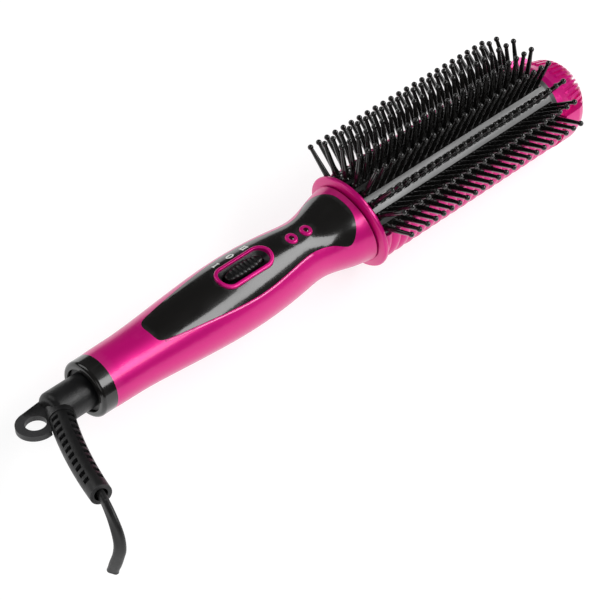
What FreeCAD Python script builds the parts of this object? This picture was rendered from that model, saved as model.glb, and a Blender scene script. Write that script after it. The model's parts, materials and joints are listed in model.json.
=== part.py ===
"""Corded heated styling brush: handle, slide switch, heated bristle head and swivel cord exit.

The frame has X along the brush's axis towards the tip and Z up through the inlay and the middle
of the bristle rows. The origin is on the axis, inside the collar that divides the handle from the
head. Angles round the axis are measured from +Z towards -Y. Sizes are in mm.
"""
import FreeCAD, Part
import math
import os
import re
import Sketcher

Vector = FreeCAD.Vector
ALONG_X = FreeCAD.Rotation(Vector(0, 1, 0), Vector(0, 0, 1), Vector(1, 0, 0), "XYZ")

# ---------------------------------------------------------------- driving dimensions

SIZES = [
    # the handle's outer form, rear to front
    ("tail_x", -156.5, "rear end of the handle shells"),
    ("tail_radius", 13.6, ""),
    ("rear_grip_x", -140.0, ""),
    ("rear_grip_radius", 13.97, ""),
    ("mid_grip_x", -118.0, ""),
    ("mid_grip_radius", 15.46, ""),
    ("upper_grip_x", -98.0, ""),
    ("upper_grip_radius", 17.1, ""),
    ("belly_x", -77.0, "fattest part of the grip"),
    ("belly_radius", 18.15, ""),
    ("fore_grip_x", -55.0, ""),
    ("fore_grip_radius", 17.6, ""),
    ("neck_x", -41.0, ""),
    ("neck_radius", 16.28, ""),
    ("waist_x", -29.5, "thinnest part before the flare"),
    ("waist_radius", 15.36, ""),
    ("throat_x", -19.2, ""),
    ("throat_radius", 16.8, ""),
    ("throat_lean", 2.7, "backward lean of the flare's rings"),
    ("flare_x", -9.6, ""),
    ("flare_radius", 19.3, ""),
    ("flare_lean", 7.0, ""),
    ("shoulder_x", -1.7, "front end of the handle shells, on the axis"),
    ("shoulder_radius", 20.9, ""),
    ("wall", 2.6, "handle shell thickness"),
    ("parting_z", -9.0, "height of the joint between the handle shells"),
    ("seam_gap", 0.1, "moulded line between the shells"),
    ("fit_gap", 0.12, "gap round a part let into another"),
    ("past", 1.0, "how far a cutting form runs past the face it cuts"),
    ("split_margin", 5.0, "the same for the forms that split whole shells"),
    ("weld", 0.5, "how deep a raised form sinks into the one below"),
    # handle screws and their posts
    ("rear_post_x", -118.0, ""),
    ("front_post_x", -22.0, ""),
    ("rear_post_radius", 3.4, ""),
    ("front_post_radius", 2.8, ""),
    ("post_meet_z", -2.2, "where the posts of the two shells meet"),
    ("rear_post_foot_z", -14.2, "foot of the lower post, inside the wall"),
    ("front_post_foot_z", -14.9, ""),
    ("screw_head_radius", 2.5, ""),
    ("screw_head_height", 1.8, ""),
    ("screw_head_z", -9.4, "underside of the screw heads"),
    ("screw_radius", 1.25, ""),
    ("screw_tip_z", 6.0, ""),
    ("pilot_radius", 1.3, ""),
    ("pilot_relief", 0.4, "free depth beyond a screw's tip"),
    ("screw_clearance", 0.15, ""),
    ("head_clearance", 0.2, ""),
    # inlay outline in plan: place along the axis and half width
    ("panel_thickness", 1.4, ""),
    ("panel_tail_x", -129.1, ""),
    ("panel_corner_x", -127.7, ""),
    ("panel_corner_half", 5.7, ""),
    ("panel_rear_x", -122.0, ""),
    ("panel_rear_half", 7.7, ""),
    ("panel_grip_x", -98.2, ""),
    ("panel_grip_half", 11.3, ""),
    ("panel_belly_x", -71.0, ""),
    ("panel_belly_half", 13.35, ""),
    ("panel_neck_x", -48.7, ""),
    ("panel_neck_half", 11.2, ""),
    ("panel_waist_x", -35.0, ""),
    ("panel_waist_half", 9.76, ""),
    ("panel_flare_x", -22.5, ""),
    ("panel_flare_half", 12.5, ""),
    ("panel_lobe_x", -14.3, ""),
    ("panel_lobe_half", 15.3, ""),
    ("panel_nose_corner_x", -9.6, ""),
    ("panel_nose_corner_half", 9.7, ""),
    ("panel_nose_x", -8.7, ""),
    # switch
    ("switch_x", -71.6, "middle of the switch opening"),
    ("bezel_length", 32.6, ""),
    ("bezel_width", 13.2, ""),
    ("bezel_top_radius", 19.0, "radius of its crown about the brush axis"),
    ("bezel_base_z", 14.8, ""),
    ("bezel_floor_z", 15.6, ""),
    ("opening_length", 28.4, ""),
    ("opening_width", 8.4, ""),
    ("slot_length", 14.6, ""),
    ("slot_width", 5.0, ""),
    ("knob_length", 20.9, ""),
    ("knob_width", 6.5, ""),
    ("knob_base_z", 15.9, ""),
    ("knob_top_z", 18.7, ""),
    ("knob_rib_count", 7, ""),
    ("knob_rib_pitch", 2.3, ""),
    ("knob_rib_length", 1.1, ""),
    ("knob_rib_height", 0.7, ""),
    ("knob_rib_inset", 0.3, "from the knob's sides"),
    ("knob_corner", 3.2, "nearly round ends, to clear the opening's ends"),
    ("stem_length", 7.0, ""),
    ("stem_width", 4.8, ""),
    ("stem_base_z", 13.0, ""),
    ("nub_length", 3.0, ""),
    ("nub_width", 2.6, ""),
    ("nub_top_z", 14.6, ""),
    ("case_length", 18.0, ""),
    ("case_width", 8.0, ""),
    ("case_top_z", 12.6, ""),
    ("carriage_length", 6.0, ""),
    ("carriage_width", 5.0, ""),
    ("carriage_base_z", 9.2, ""),
    ("carriage_top_z", 11.5, ""),
    ("slide_travel", 3.5, "each way from the middle"),
    ("slide_gap", 0.1, "running gap of the sliding pieces"),
    # lamps
    ("rear_lamp_x", -41.4, ""),
    ("front_lamp_x", -31.9, ""),
    ("rear_lamp_top_z", 17.1, ""),
    ("front_lamp_top_z", 16.3, ""),
    ("ring_radius", 3.1, ""),
    ("ring_base_drop", 2.2, "depth of the ring below its crown"),
    ("ring_round", 0.8, ""),
    ("lens_radius", 1.3, ""),
    ("lens_recess", 0.3, "depth of the lens below the ring's crown"),
    ("lens_round", 0.6, ""),
    ("light_hole_radius", 1.0, ""),
    ("led_radius", 1.5, ""),
    ("led_top_z", 11.6, ""),
    ("led_round", 1.2, ""),
    # circuit board
    ("board_rear_x", -96.0, ""),
    ("board_front_x", -27.0, ""),
    ("board_half_width", 7.0, ""),
    ("board_base_z", 6.2, ""),
    ("board_top_z", 7.6, ""),
    ("board_rear_screw_x", -92.0, ""),
    ("board_front_screw_x", -50.0, ""),
    ("board_post_radius", 2.6, ""),
    ("board_screw_radius", 1.0, ""),
    ("board_screw_head_radius", 2.0, ""),
    ("board_screw_head_height", 1.5, ""),
    ("board_screw_tip_z", 12.0, ""),
    ("lead_radius", 1.0, ""),
    ("lead_z", 5.1, ""),
    ("mains_lead_y", 5.5, ""),
    ("mains_lead_end_x", -90.0, ""),
    ("heater_lead_y", 4.2, ""),
    ("heater_lead_start_x", -33.0, ""),
    ("heater_lead_end_x", 22.0, ""),
    ("capacitor_x", -85.0, ""),
    ("capacitor_y", 3.0, ""),
    ("capacitor_radius", 2.4, ""),
    ("capacitor_height", 4.6, ""),
    ("driver_x", -59.0, ""),
    ("driver_length", 4.0, ""),
    ("driver_half_width", 4.0, ""),
    ("driver_height", 1.6, ""),
    ("suppressor_x", -37.0, ""),
    ("suppressor_y", -5.6, ""),
    ("suppressor_length", 7.0, ""),
    ("suppressor_width", 3.0, ""),
    ("suppressor_height", 2.2, ""),
    # collar, a disc whose top leans back towards the handle
    ("collar_x", 3.0, "middle of the collar's front face"),
    ("collar_lean", 11.0, ""),
    ("collar_thickness", 3.6, ""),
    ("collar_radius", 25.0, ""),
    ("collar_back_radius", 21.3, ""),
    ("collar_slope", 0.8, "how far its back face slopes to the rim"),
    ("collar_bore", 15.6, ""),
    ("collar_spigot_radius", 16.4, ""),
    ("collar_spigot_x", -7.0, ""),
    ("collar_back_round", 1.0, ""),
    ("collar_front_round", 1.6, ""),
    # barrel and bushes
    ("barrel_rear_x", -2.0, "before its end is trimmed to the collar"),
    ("head_gap", 0.3, "gap between the collar and the head's parts"),
    ("land_front_x", 125.0, "front end of the bright lands"),
    ("barrel_front_x", 128.0, ""),
    ("barrel_bore", 16.0, ""),
    ("land_radius", 22.0, ""),
    ("groove_floor_radius", 20.0, ""),
    ("groove_width", 4.0, ""),
    ("barrel_back_radius", 19.5, "where the back shell covers it"),
    ("barrel_back_angle", 225.0, "sweep of the covered part"),
    ("bush_radius", 15.5, ""),
    ("plug_radius", 15.85, ""),
    ("bush_bore", 11.0, ""),
    ("root_bush_rear_x", -10.0, ""),
    ("root_bush_step_x", 6.5, ""),
    ("root_bush_front_x", 13.5, ""),
    ("grub_x", 10.0, ""),
    ("grub_radius", 1.5, ""),
    ("grub_inner", 13.0, ""),
    ("grub_outer", 19.4, ""),
    ("tip_plug_x", 114.0, ""),
    ("tip_plug_bore", 13.0, ""),
    ("tip_web_x", 126.0, ""),
    ("tip_flange_radius", 19.5, ""),
    ("tip_screw_radius", 1.5, ""),
    ("tip_screw_head_radius", 3.0, ""),
    ("tip_screw_head_x", 124.0, ""),
    ("tip_screw_end_x", 140.0, ""),
    # bristles
    ("row_step", 16.8, "angle between neighbouring rows"),
    ("bristle_count", 23, "bristles in a row"),
    ("bristle_pitch", 5.5, ""),
    ("first_bristle_x", 3.0, ""),
    ("bar_half_width", 1.95, ""),
    ("bar_base", 20.05, ""),
    ("bar_top", 21.5, ""),
    ("bar_overhang_rear", 1.7, "bar beyond the first bristle's middle"),
    ("bar_overhang_front", 1.95, ""),
    ("boss_radius", 1.9, ""),
    ("boss_base", 20.6, ""),
    ("boss_top", 22.2, ""),
    ("stem_root", 22.9, ""),
    ("stem_root_radius", 1.45, ""),
    ("stem_tip_radius", 0.95, ""),
    ("ball_middle", 39.0, ""),
    ("ball_radius", 1.4, ""),
    # back shell
    ("back_inner", 19.7, ""),
    ("back_notch", 21.9, ""),
    ("back_crest", 23.5, ""),
    ("back_rear_x", 0.5, "before its end is trimmed to the collar"),
    ("back_front_x", 130.9, ""),
    ("back_sweep", 223.0, ""),
    ("back_rib_count", 20, ""),
    ("back_rib_pitch", 6.5, ""),
    ("back_rib_chord", 6.0, ""),
    ("back_first_rib_x", 3.6, "middle of the first rib"),
    # tip cap: a dome whose axis is dropped away from the bristles
    ("dome_drop", 2.4, ""),
    ("dome_rear_x", 131.0, ""),
    ("dome_rear_radius", 21.0, ""),
    ("dome_ridge_x", 134.0, ""),
    ("dome_ridge_radius", 22.2, ""),
    ("dome_side_x", 148.5, "where the dome starts to round over"),
    ("dome_side_radius", 17.6, ""),
    ("dome_end_x", 154.8, ""),
    ("dome_end_radius", 9.5, ""),
    ("dome_round", 9.5, "radius of the round-over"),
    ("fin_rise", 1.2, "height of the fins over the dome"),
    ("fin_count", 40, ""),
    ("fin_angle", 4.0, ""),
    ("fin_start_x", 137.5, ""),
    ("fin_full_x", 140.5, "where the fins reach their height"),
    ("fin_full_radius", 20.9, ""),
    ("fin_root", 8.0, ""),
    ("skirt_radius", 23.7, ""),
    ("skirt_sweep", 232.0, ""),
    ("skirt_rear_x", 131.1, ""),
    ("skirt_turn_x", 141.0, ""),
    ("skirt_end_x", 147.0, ""),
    ("skirt_mid_x", 144.8, ""),
    ("skirt_mid_radius", 22.4, ""),
    ("skirt_inner", 18.5, ""),
    ("skirt_round", 4.0, ""),
    ("cap_bore", 13.5, ""),
    ("cap_bore_end_x", 149.0, ""),
    ("cap_post_radius", 4.0, ""),
    # heater
    ("heater_rear_x", 14.0, ""),
    ("heater_front_x", 112.0, ""),
    ("spreader_radius", 15.9, ""),
    ("spreader_wall", 2.4, ""),
    ("tablet_length", 26.0, ""),
    ("tablet_width", 16.0, ""),
    ("tablet_half_height", 1.2, ""),
    ("tablet_pitch", 30.0, ""),
    ("first_tablet_x", 20.0, ""),
    ("tablet_count", 3, ""),
    ("plate_rear_x", 18.0, ""),
    ("plate_front_x", 108.0, ""),
    ("plate_half_width", 9.0, ""),
    ("plate_thickness", 0.3, ""),
    ("film_thickness", 0.15, ""),
    ("film_rear_x", 16.0, ""),
    ("film_front_x", 110.0, ""),
    ("film_half_width", 11.0, ""),
    ("fuse_x", 60.0, "rear end of the thermal fuse and the thermostat"),
    ("fuse_length", 12.0, ""),
    ("fuse_radius", 1.5, ""),
    ("fuse_y", -4.0, ""),
    ("thermostat_y", 3.0, ""),
    ("thermostat_width", 6.0, ""),
    ("thermostat_height", 3.2, ""),
    # rear cap, swivel and contacts
    ("cap_rear_x", -164.5, ""),
    ("cap_radius", 13.6, ""),
    ("cap_edge_round", 1.8, ""),
    ("cap_mouth", 10.6, ""),
    ("web_rear_x", -160.9, ""),
    ("web_front_x", -157.0, ""),
    ("web_bore", 6.08, "running fit on the shaft"),
    ("spigot_radius", 10.9, ""),
    ("spigot_bore", 8.6, ""),
    ("spigot_front_x", -149.0, ""),
    ("shaft_radius", 6.0, ""),
    ("swivel_rest", 18.0, "angle of the cord above level at rest"),
    ("swivel_radius", 8.5, ""),
    ("swivel_rear_x", -184.0, ""),
    ("swivel_round", 3.0, ""),
    ("swivel_step_x", -163.0, ""),
    ("swivel_collar_radius", 10.2, ""),
    ("swivel_collar_x", -161.2, ""),
    ("clip_rear_x", -156.6, ""),
    ("clip_front_x", -155.4, ""),
    ("clip_inner", 5.2, ""),
    ("clip_outer", 8.0, ""),
    ("clip_mouth", 8.4, "width of the clip's open side"),
    ("groove_radius", 5.1, ""),
    ("sleeve_rear_x", -152.0, ""),
    ("sleeve_front_x", -147.0, ""),
    ("sleeve_inner", 4.4, ""),
    ("pin_radius", 1.5, ""),
    ("pin_rear_x", -158.0, ""),
    ("pin_front_x", -141.0, ""),
    ("thin_lead_radius", 0.5, "wires inside the swivel"),
    ("channel_offset", 4.5, "distance of the sleeve's wire from the axis"),
    ("lead_spread", 1.3, "half the distance between the two wires in the boot"),
    ("lead_bend", 0.5, "where the wires turn, along the boot's line"),
    ("pin_lead_z", 0.9, "where the wire meets the pin's end"),
    ("sleeve_lead_gap", 1.2, "from the pin's end to the other wire's bend"),
    ("sleeve_lead_z", -2.0, ""),
    ("notch_length", 2.0, "room for the bent wire behind the channel"),
    ("notch_half_width", 0.8, ""),
    ("lead_bore", 3.4, ""),
    ("lead_bore_x", -181.5, ""),
    ("eye_x", -193.0, ""),
    ("eye_shift", 2.2, "eye's middle beside the swivel axis, on the cord's side"),
    ("eye_hole_radius", 4.8, ""),
    ("eye_outer_radius", 9.0, ""),
    ("eye_thickness", 2.6, ""),
    ("eye_root_x", -180.0, ""),
    ("eye_root_half", 8.1, ""),
    ("block_radius", 10.8, ""),
    ("block_bore", 7.0, ""),
    ("block_rear_x", -146.0, ""),
    ("block_disc_x", -139.0, ""),
    ("block_front_x", -136.0, ""),
    ("leaf_thickness", 0.5, ""),
    ("leaf_half_width", 1.5, ""),
    ("leaf_gap", 0.1, "rest gap between a leaf and its contact"),
    ("leaf_height", 6.0, "reach of the end leaf from the axis"),
    # strain relief boot and cord
    ("boot_x", -178.5, "where the cord's line leaves the brush axis"),
    ("boot_length", 61.5, "from the brush axis along its curve"),
    ("boot_lean_start", 31.0, "lean towards the rear at the axis"),
    ("boot_lean_end", 17.0, "lean towards the rear at its end"),
    ("boot_start", 9.2, "where the boot leaves its socket"),
    ("boot_root_radius", 5.7, ""),
    ("boot_tip_radius", 4.95, ""),
    ("boot_bore", 3.1, ""),
    ("boot_plug_radius", 4.5, ""),
    ("boot_plug_start", 4.6, ""),
    ("boot_gap", 0.15, "room round the boot where it leaves the swivel"),
    ("socket_radius", 6.1, ""),
    ("window_count", 11, "windows in each line"),
    ("window_pitch", 4.25, ""),
    ("window_first", 12.0, ""),
    ("window_length", 2.5, ""),
    ("window_inner", 2.0, "half width of the spine between the lines"),
    ("window_rail", 0.8, "rail left outside the windows"),
    ("cord_width", 5.4, ""),
    ("cord_thickness", 3.2, ""),
    ("cord_start", 7.2, "where the jacket begins along the boot"),
    ("conductor_radius", 0.75, ""),
    ("conductor_bore", 0.85, ""),
    ("core_offset", 1.3, "distance of each core from the cord's middle"),
]

# the cord's free run past the boot, in the swivel's own frame
CORD_RUN = ((-206.5, -65.9, -6.0), (-207.0, -68.9, -17.6), (-207.0, -65.6, -28.0),
            (-207.0, -61.6, -36.8))
CORD_FLAT_START = Vector(0, 0, 1)
CORD_FLAT_END = Vector(0.564, -0.785, -0.255)
CORD_STOPS = (0.3, 0.5, 0.7, 0.85, 1.0)     # shares of the boot's length
CORD_STEPS = 20
BOOT_STEPS = 4
TOLERANCE = 0.01

doc = FreeCAD.newDocument("styling_brush")
sheet = doc.addObject("Spreadsheet::Sheet", "size")
for line, (alias, amount, note) in enumerate(SIZES, start=1):
    sheet.set("A%d" % line, alias)
    sheet.set("B%d" % line, str(amount))
    sheet.set("C%d" % line, note)
    sheet.setAlias("B%d" % line, alias)
doc.recompute()
ALIASES = {alias for alias, amount, note in SIZES}
nodes = {}


# ---------------------------------------------------------------- helpers

def bound(text):
    """The expression with every sheet alias in it addressed as size.alias."""
    return re.sub(r"[a-z_]+", lambda word: "size." + word[0] if word[0] in ALIASES else word[0], text)


def number(text):
    """What an expression in the sheet's aliases is worth now."""
    return float(sheet.evalExpression(bound(text)))


def keep(piece, name):
    """Name a finished piece and list it for export."""
    piece.Label = name
    nodes[name] = piece
    return piece


def new_sketch(body, role, lift="0"):
    """A sketch on one of the body's own origin planes, lifted along the plane's normal."""
    plane = next(item for item in body.Origin.OriginFeatures if item.Role == role)
    sketch = body.newObject("Sketcher::SketchObject", "sketch")
    sketch.AttachmentSupport = (plane, [""])
    sketch.MapMode = "FlatFace"
    sketch.setExpression("AttachmentOffset.Base.z", bound(lift))
    return sketch


def pin_point(sketch, item, end, spot):
    """Hold one point of a sketch at a pair of expressions."""
    for kind, axis, text in (("DistanceX", -2, spot[0]), ("DistanceY", -1, spot[1])):
        if text == "0":
            sketch.addConstraint(Sketcher.Constraint("PointOnObject", item, end, axis))
        else:
            row = sketch.addConstraint(Sketcher.Constraint(kind, -1, 1, item, end, number(text)))
            sketch.setExpression("Constraints[%d]" % row, bound(text))


def outline(sketch, corners):
    """A closed outline; each corner is a pair of expressions.

    A third expression makes the edge after the corner an arc of that radius, which bulges to
    the left of the way the outline runs, or to the right where a minus sign stands before it.
    """
    points = [Vector(number(corner[0]), number(corner[1]), 0) for corner in corners]
    first = sketch.GeometryCount
    ends = []
    for corner, start, end in zip(corners, points, points[1:] + points[:1]):
        if len(corner) == 2:
            sketch.addGeometry(Part.LineSegment(start, end), False)
            ends.append((1, 2))
            continue
        radius = number(corner[2])
        chord = end - start
        left = Vector(-chord.y, chord.x, 0).normalize()
        rise = abs(radius) - math.sqrt(radius ** 2 - chord.Length ** 2 / 4)
        bulge = (start + end) / 2 + left * math.copysign(rise, radius)
        sketch.addGeometry(Part.Arc(start, bulge, end), False)
        ends.append((1, 2) if radius < 0 else (2, 1))
    for step, corner in enumerate(corners):
        following = (step + 1) % len(corners)
        join = Sketcher.Constraint("Coincident", first + step, ends[step][1],
                                   first + following, ends[following][0])
        sketch.addConstraint(join)
        pin_point(sketch, first + step, ends[step][0], corner)
        if len(corner) == 3:
            row = sketch.addConstraint(Sketcher.Constraint("Radius", first + step, abs(number(corner[2]))))
            sketch.setExpression("Constraints[%d]" % row, bound("abs(%s)" % corner[2]))


def rectangle(sketch, left, right, low, high):
    outline(sketch, [(left, low), (right, low), (right, high), (left, high)])


def circle(sketch, across, up, radius):
    spot = Vector(number(across), number(up), 0)
    item = sketch.addGeometry(Part.Circle(spot, Vector(0, 0, 1), number(radius)), False)
    row = sketch.addConstraint(Sketcher.Constraint("Radius", item, number(radius)))
    sketch.setExpression("Constraints[%d]" % row, bound(radius))
    pin_point(sketch, item, 3, (across, up))


def stadium(sketch, middle, length, width):
    """A slot outline along the sketch's horizontal axis."""
    radius = number(width) / 2
    reach = (number(length) - number(width)) / 2
    left = number(middle) - reach
    right = number(middle) + reach
    normal = Vector(0, 0, 1)
    quarter = math.pi / 2
    shapes = [
        Part.LineSegment(Vector(left, -radius, 0), Vector(right, -radius, 0)),
        Part.ArcOfCircle(Part.Circle(Vector(right, 0, 0), normal, radius), -quarter, quarter),
        Part.LineSegment(Vector(right, radius, 0), Vector(left, radius, 0)),
        Part.ArcOfCircle(Part.Circle(Vector(left, 0, 0), normal, radius), quarter, 3 * quarter),
    ]
    first = [sketch.addGeometry(shape, False) for shape in shapes][0]
    ends = [(0, 2, 1, 1), (1, 2, 2, 1), (2, 2, 3, 1), (3, 2, 0, 1)]
    for one, one_end, other, other_end in ends:
        tangent = Sketcher.Constraint("Tangent", first + one, one_end, first + other, other_end)
        sketch.addConstraint(tangent)
    row = sketch.addConstraint(Sketcher.Constraint("Radius", first + 1, radius))
    sketch.setExpression("Constraints[%d]" % row, bound("(%s) / 2" % width))
    sketch.addConstraint(Sketcher.Constraint("Equal", first + 1, first + 3))
    half_run = "((%s) - (%s)) / 2" % (length, width)
    pin_point(sketch, first + 1, 3, ("(%s) + %s" % (middle, half_run), "0"))
    pin_point(sketch, first + 3, 3, ("(%s) - %s" % (middle, half_run), "0"))


def new_body(label):
    body = doc.addObject("PartDesign::Body", label)
    body.Label = label
    body.AllowCompound = True
    return body


def spin(body, *outlines, kind="PartDesign::Revolution", sweep="360", about="H_Axis"):
    """Turn closed outlines, drawn on the XZ plane, about an axis of their sketch."""
    sketch = new_sketch(body, "XZ_Plane")
    for corners in outlines:
        outline(sketch, corners)
    turn = body.newObject(kind, "turn")
    turn.Profile = sketch
    turn.ReferenceAxis = (sketch, [about])
    turn.Midplane = True
    turn.setExpression("Angle", bound(sweep))
    return turn


def turned(label, *outlines):
    body = new_body(label)
    spin(body, *outlines)
    return body


def pad(body, role, lift, length, draw):
    """Raise what draw() sketches along the plane's normal, from lift, by length."""
    sketch = new_sketch(body, role, lift)
    draw(sketch)
    feature = body.newObject("PartDesign::Pad", "pad")
    feature.Profile = sketch
    feature.setExpression("Length", bound(length))
    return feature


def pocket(body, role, lift, depth, draw):
    """Cut what draw() sketches along the plane's normal, from lift, by depth."""
    doc.recompute()
    before = body.Shape.Volume
    sketch = new_sketch(body, role, lift)
    draw(sketch)
    feature = body.newObject("PartDesign::Pocket", "pocket")
    feature.Profile = sketch
    feature.Reversed = True
    feature.setExpression("Length", bound(depth))
    doc.recompute()
    if before - body.Shape.Volume < TOLERANCE:
        raise RuntimeError("a pocket in %s cuts nothing" % body.Label)
    return feature


def repeat_along_x(body, feature, pitch, count):
    """A row of copies of a feature along X."""
    row = body.newObject("PartDesign::LinearPattern", "row")
    row.Originals = [feature]
    row.Direction = (feature.Profile[0], ["H_Axis"])
    row.setExpression("Length", bound("(%s) * (%s - 1)" % (pitch, count)))
    row.setExpression("Occurrences", bound(count))
    body.Tip = row
    return row


def soften(body, radius, wanted):
    """Round those edges of the body for which wanted(edge) holds."""
    doc.recompute()
    base = body.Tip
    names = ["Edge%d" % step for step, edge in enumerate(base.Shape.Edges, start=1) if wanted(edge)]
    if not names:
        raise RuntimeError("no edge to round in " + body.Label)
    feature = body.newObject("PartDesign::Fillet", "round")
    feature.Base = (base, names)
    feature.setExpression("Radius", bound(radius))
    return feature


def hoop(place, radius):
    """A test for the circular edge of this radius at this place along the axis."""
    spot = number(place)
    size = number(radius)

    def matches(edge):
        curve = edge.Curve
        return (curve.TypeId == "Part::GeomCircle" and abs(curve.Center.x - spot) < TOLERANCE
                and abs(curve.Radius - size) < TOLERANCE)
    return matches


def rim(height, radius):
    """A test for the level circular edge of this radius at this height."""
    level = number(height)
    size = number(radius)

    def matches(edge):
        box = edge.BoundBox
        return (box.ZLength < TOLERANCE and abs(box.ZMax - level) < TOLERANCE
                and abs(box.XLength / 2 - size) < TOLERANCE)
    return matches


def place(piece, spot):
    """Bind a piece's position to three expressions."""
    for axis, text in zip("xyz", spot):
        piece.setExpression("Placement.Base." + axis, bound(text))
    return piece


def rod(label, radius, length, spot, rotation=None):
    """A cylinder that stands on spot, along Z unless it is rotated."""
    piece = doc.addObject("Part::Cylinder", label)
    piece.setExpression("Radius", bound(radius))
    piece.setExpression("Height", bound(length))
    if rotation:
        piece.Placement = FreeCAD.Placement(Vector(0, 0, 0), rotation)
    return place(piece, spot)


def block(label, low, high):
    """A box between two corners."""
    piece = doc.addObject("Part::Box", label)
    for side, start, end in zip(("Length", "Width", "Height"), low, high):
        piece.setExpression(side, bound("(%s) - (%s)" % (end, start)))
    return place(piece, low)


def cut(base, tool, label="cut"):
    piece = doc.addObject("Part::Cut", label)
    piece.Base = base
    piece.Tool = tool
    return piece


def common(base, tool, label="common"):
    piece = doc.addObject("Part::Common", label)
    piece.Base = base
    piece.Tool = tool
    return piece


def fused(pieces, label="fused"):
    piece = doc.addObject("Part::MultiFuse", label)
    piece.Shapes = pieces
    piece.Refine = True
    return piece


def group(pieces, label):
    """Separate solids that share one node."""
    piece = doc.addObject("Part::Compound", label)
    piece.Links = pieces
    return piece


def leaned(piece):
    """Stand a piece made round the origin on the collar's front face, leaned as it leans."""
    piece.Placement = FreeCAD.Placement(Vector(0, 0, 0), FreeCAD.Rotation(Vector(0, 1, 0), 1))
    piece.setExpression("Placement.Rotation.Angle", bound("-collar_lean"))
    piece.setExpression("Placement.Base.x", bound("collar_x"))
    return piece


def behind_collar_face(label):
    """All the space behind the head's rear end, to trim the head's parts with."""
    reach = "2 * collar_radius"
    space = block(label, ("-" + reach, "-" + reach, "-" + reach), ("head_gap", reach, reach))
    return leaned(group([space], label + "_leaned"))


def loft(label, rings):
    """A solid through rings on the axis: place and radius as expressions, lean in degrees."""
    sections = []
    for spot, radius, lean in rings:
        ring = doc.addObject("Part::Circle", label + "_ring")
        turn = FreeCAD.Rotation(Vector(0, 1, 0), -lean) * ALONG_X
        ring.Placement = FreeCAD.Placement(Vector(0, 0, 0), turn)
        ring.setExpression("Radius", bound(radius))
        sections.append(place(ring, (spot, "0", "0")))
    form = doc.addObject("Part::Loft", label)
    form.Sections = sections
    form.Solid = True
    return form


# ---------------------------------------------------------------- handle

STATIONS = ("tail", "rear_grip", "mid_grip", "upper_grip", "belly", "fore_grip", "neck", "waist",
            "throat", "flare", "shoulder")
LEANS = {"throat": "throat_lean", "flare": "flare_lean", "shoulder": "collar_lean"}


def handle_form(label, inset):
    """The handle's round form, moved in by a wall thickness."""
    rings = [(name + "_x", "%s_radius - (%s)" % (name, inset), number(LEANS.get(name, "0")))
             for name in STATIONS]
    return loft(label, rings)


def panel_prism(label, grow):
    """An upright prism on the inlay's plan outline, grown by a margin."""
    mids = ("corner", "rear", "grip", "belly", "neck", "waist", "flare", "lobe", "nose_corner")
    right = [(number("panel_%s_x" % name), number("panel_%s_half" % name) + grow) for name in mids]
    loop = [(number("panel_tail_x") - grow, 0)] + right + [(number("panel_nose_x") + grow, 0)]
    loop += [(along, -half) for along, half in reversed(right)]
    curve = Part.BSplineCurve()
    curve.interpolate([Vector(along, half, 0) for along, half in loop], PeriodicFlag=True)
    region = doc.addObject("Part::Feature", label + "_outline")
    region.Shape = Part.Face(Part.Wire(curve.toShape()))
    prism = doc.addObject("Part::Extrusion", label)
    prism.Base = region
    prism.DirMode = "Custom"
    prism.Dir = Vector(0, 0, 1)
    prism.setExpression("LengthFwd", bound("collar_radius"))
    prism.Solid = True
    return prism


def bezel_prism(label, grow):
    """The switch bezel's outline as a prism from its base up."""
    body = new_body(label)
    length = "bezel_length + 2 * (%s)" % grow
    width = "bezel_width + 2 * (%s)" % grow
    pad(body, "XY_Plane", "bezel_base_z - (%s)" % grow, "collar_radius - bezel_base_z",
        lambda sketch: stadium(sketch, "switch_x", length, width))
    return body


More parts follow.
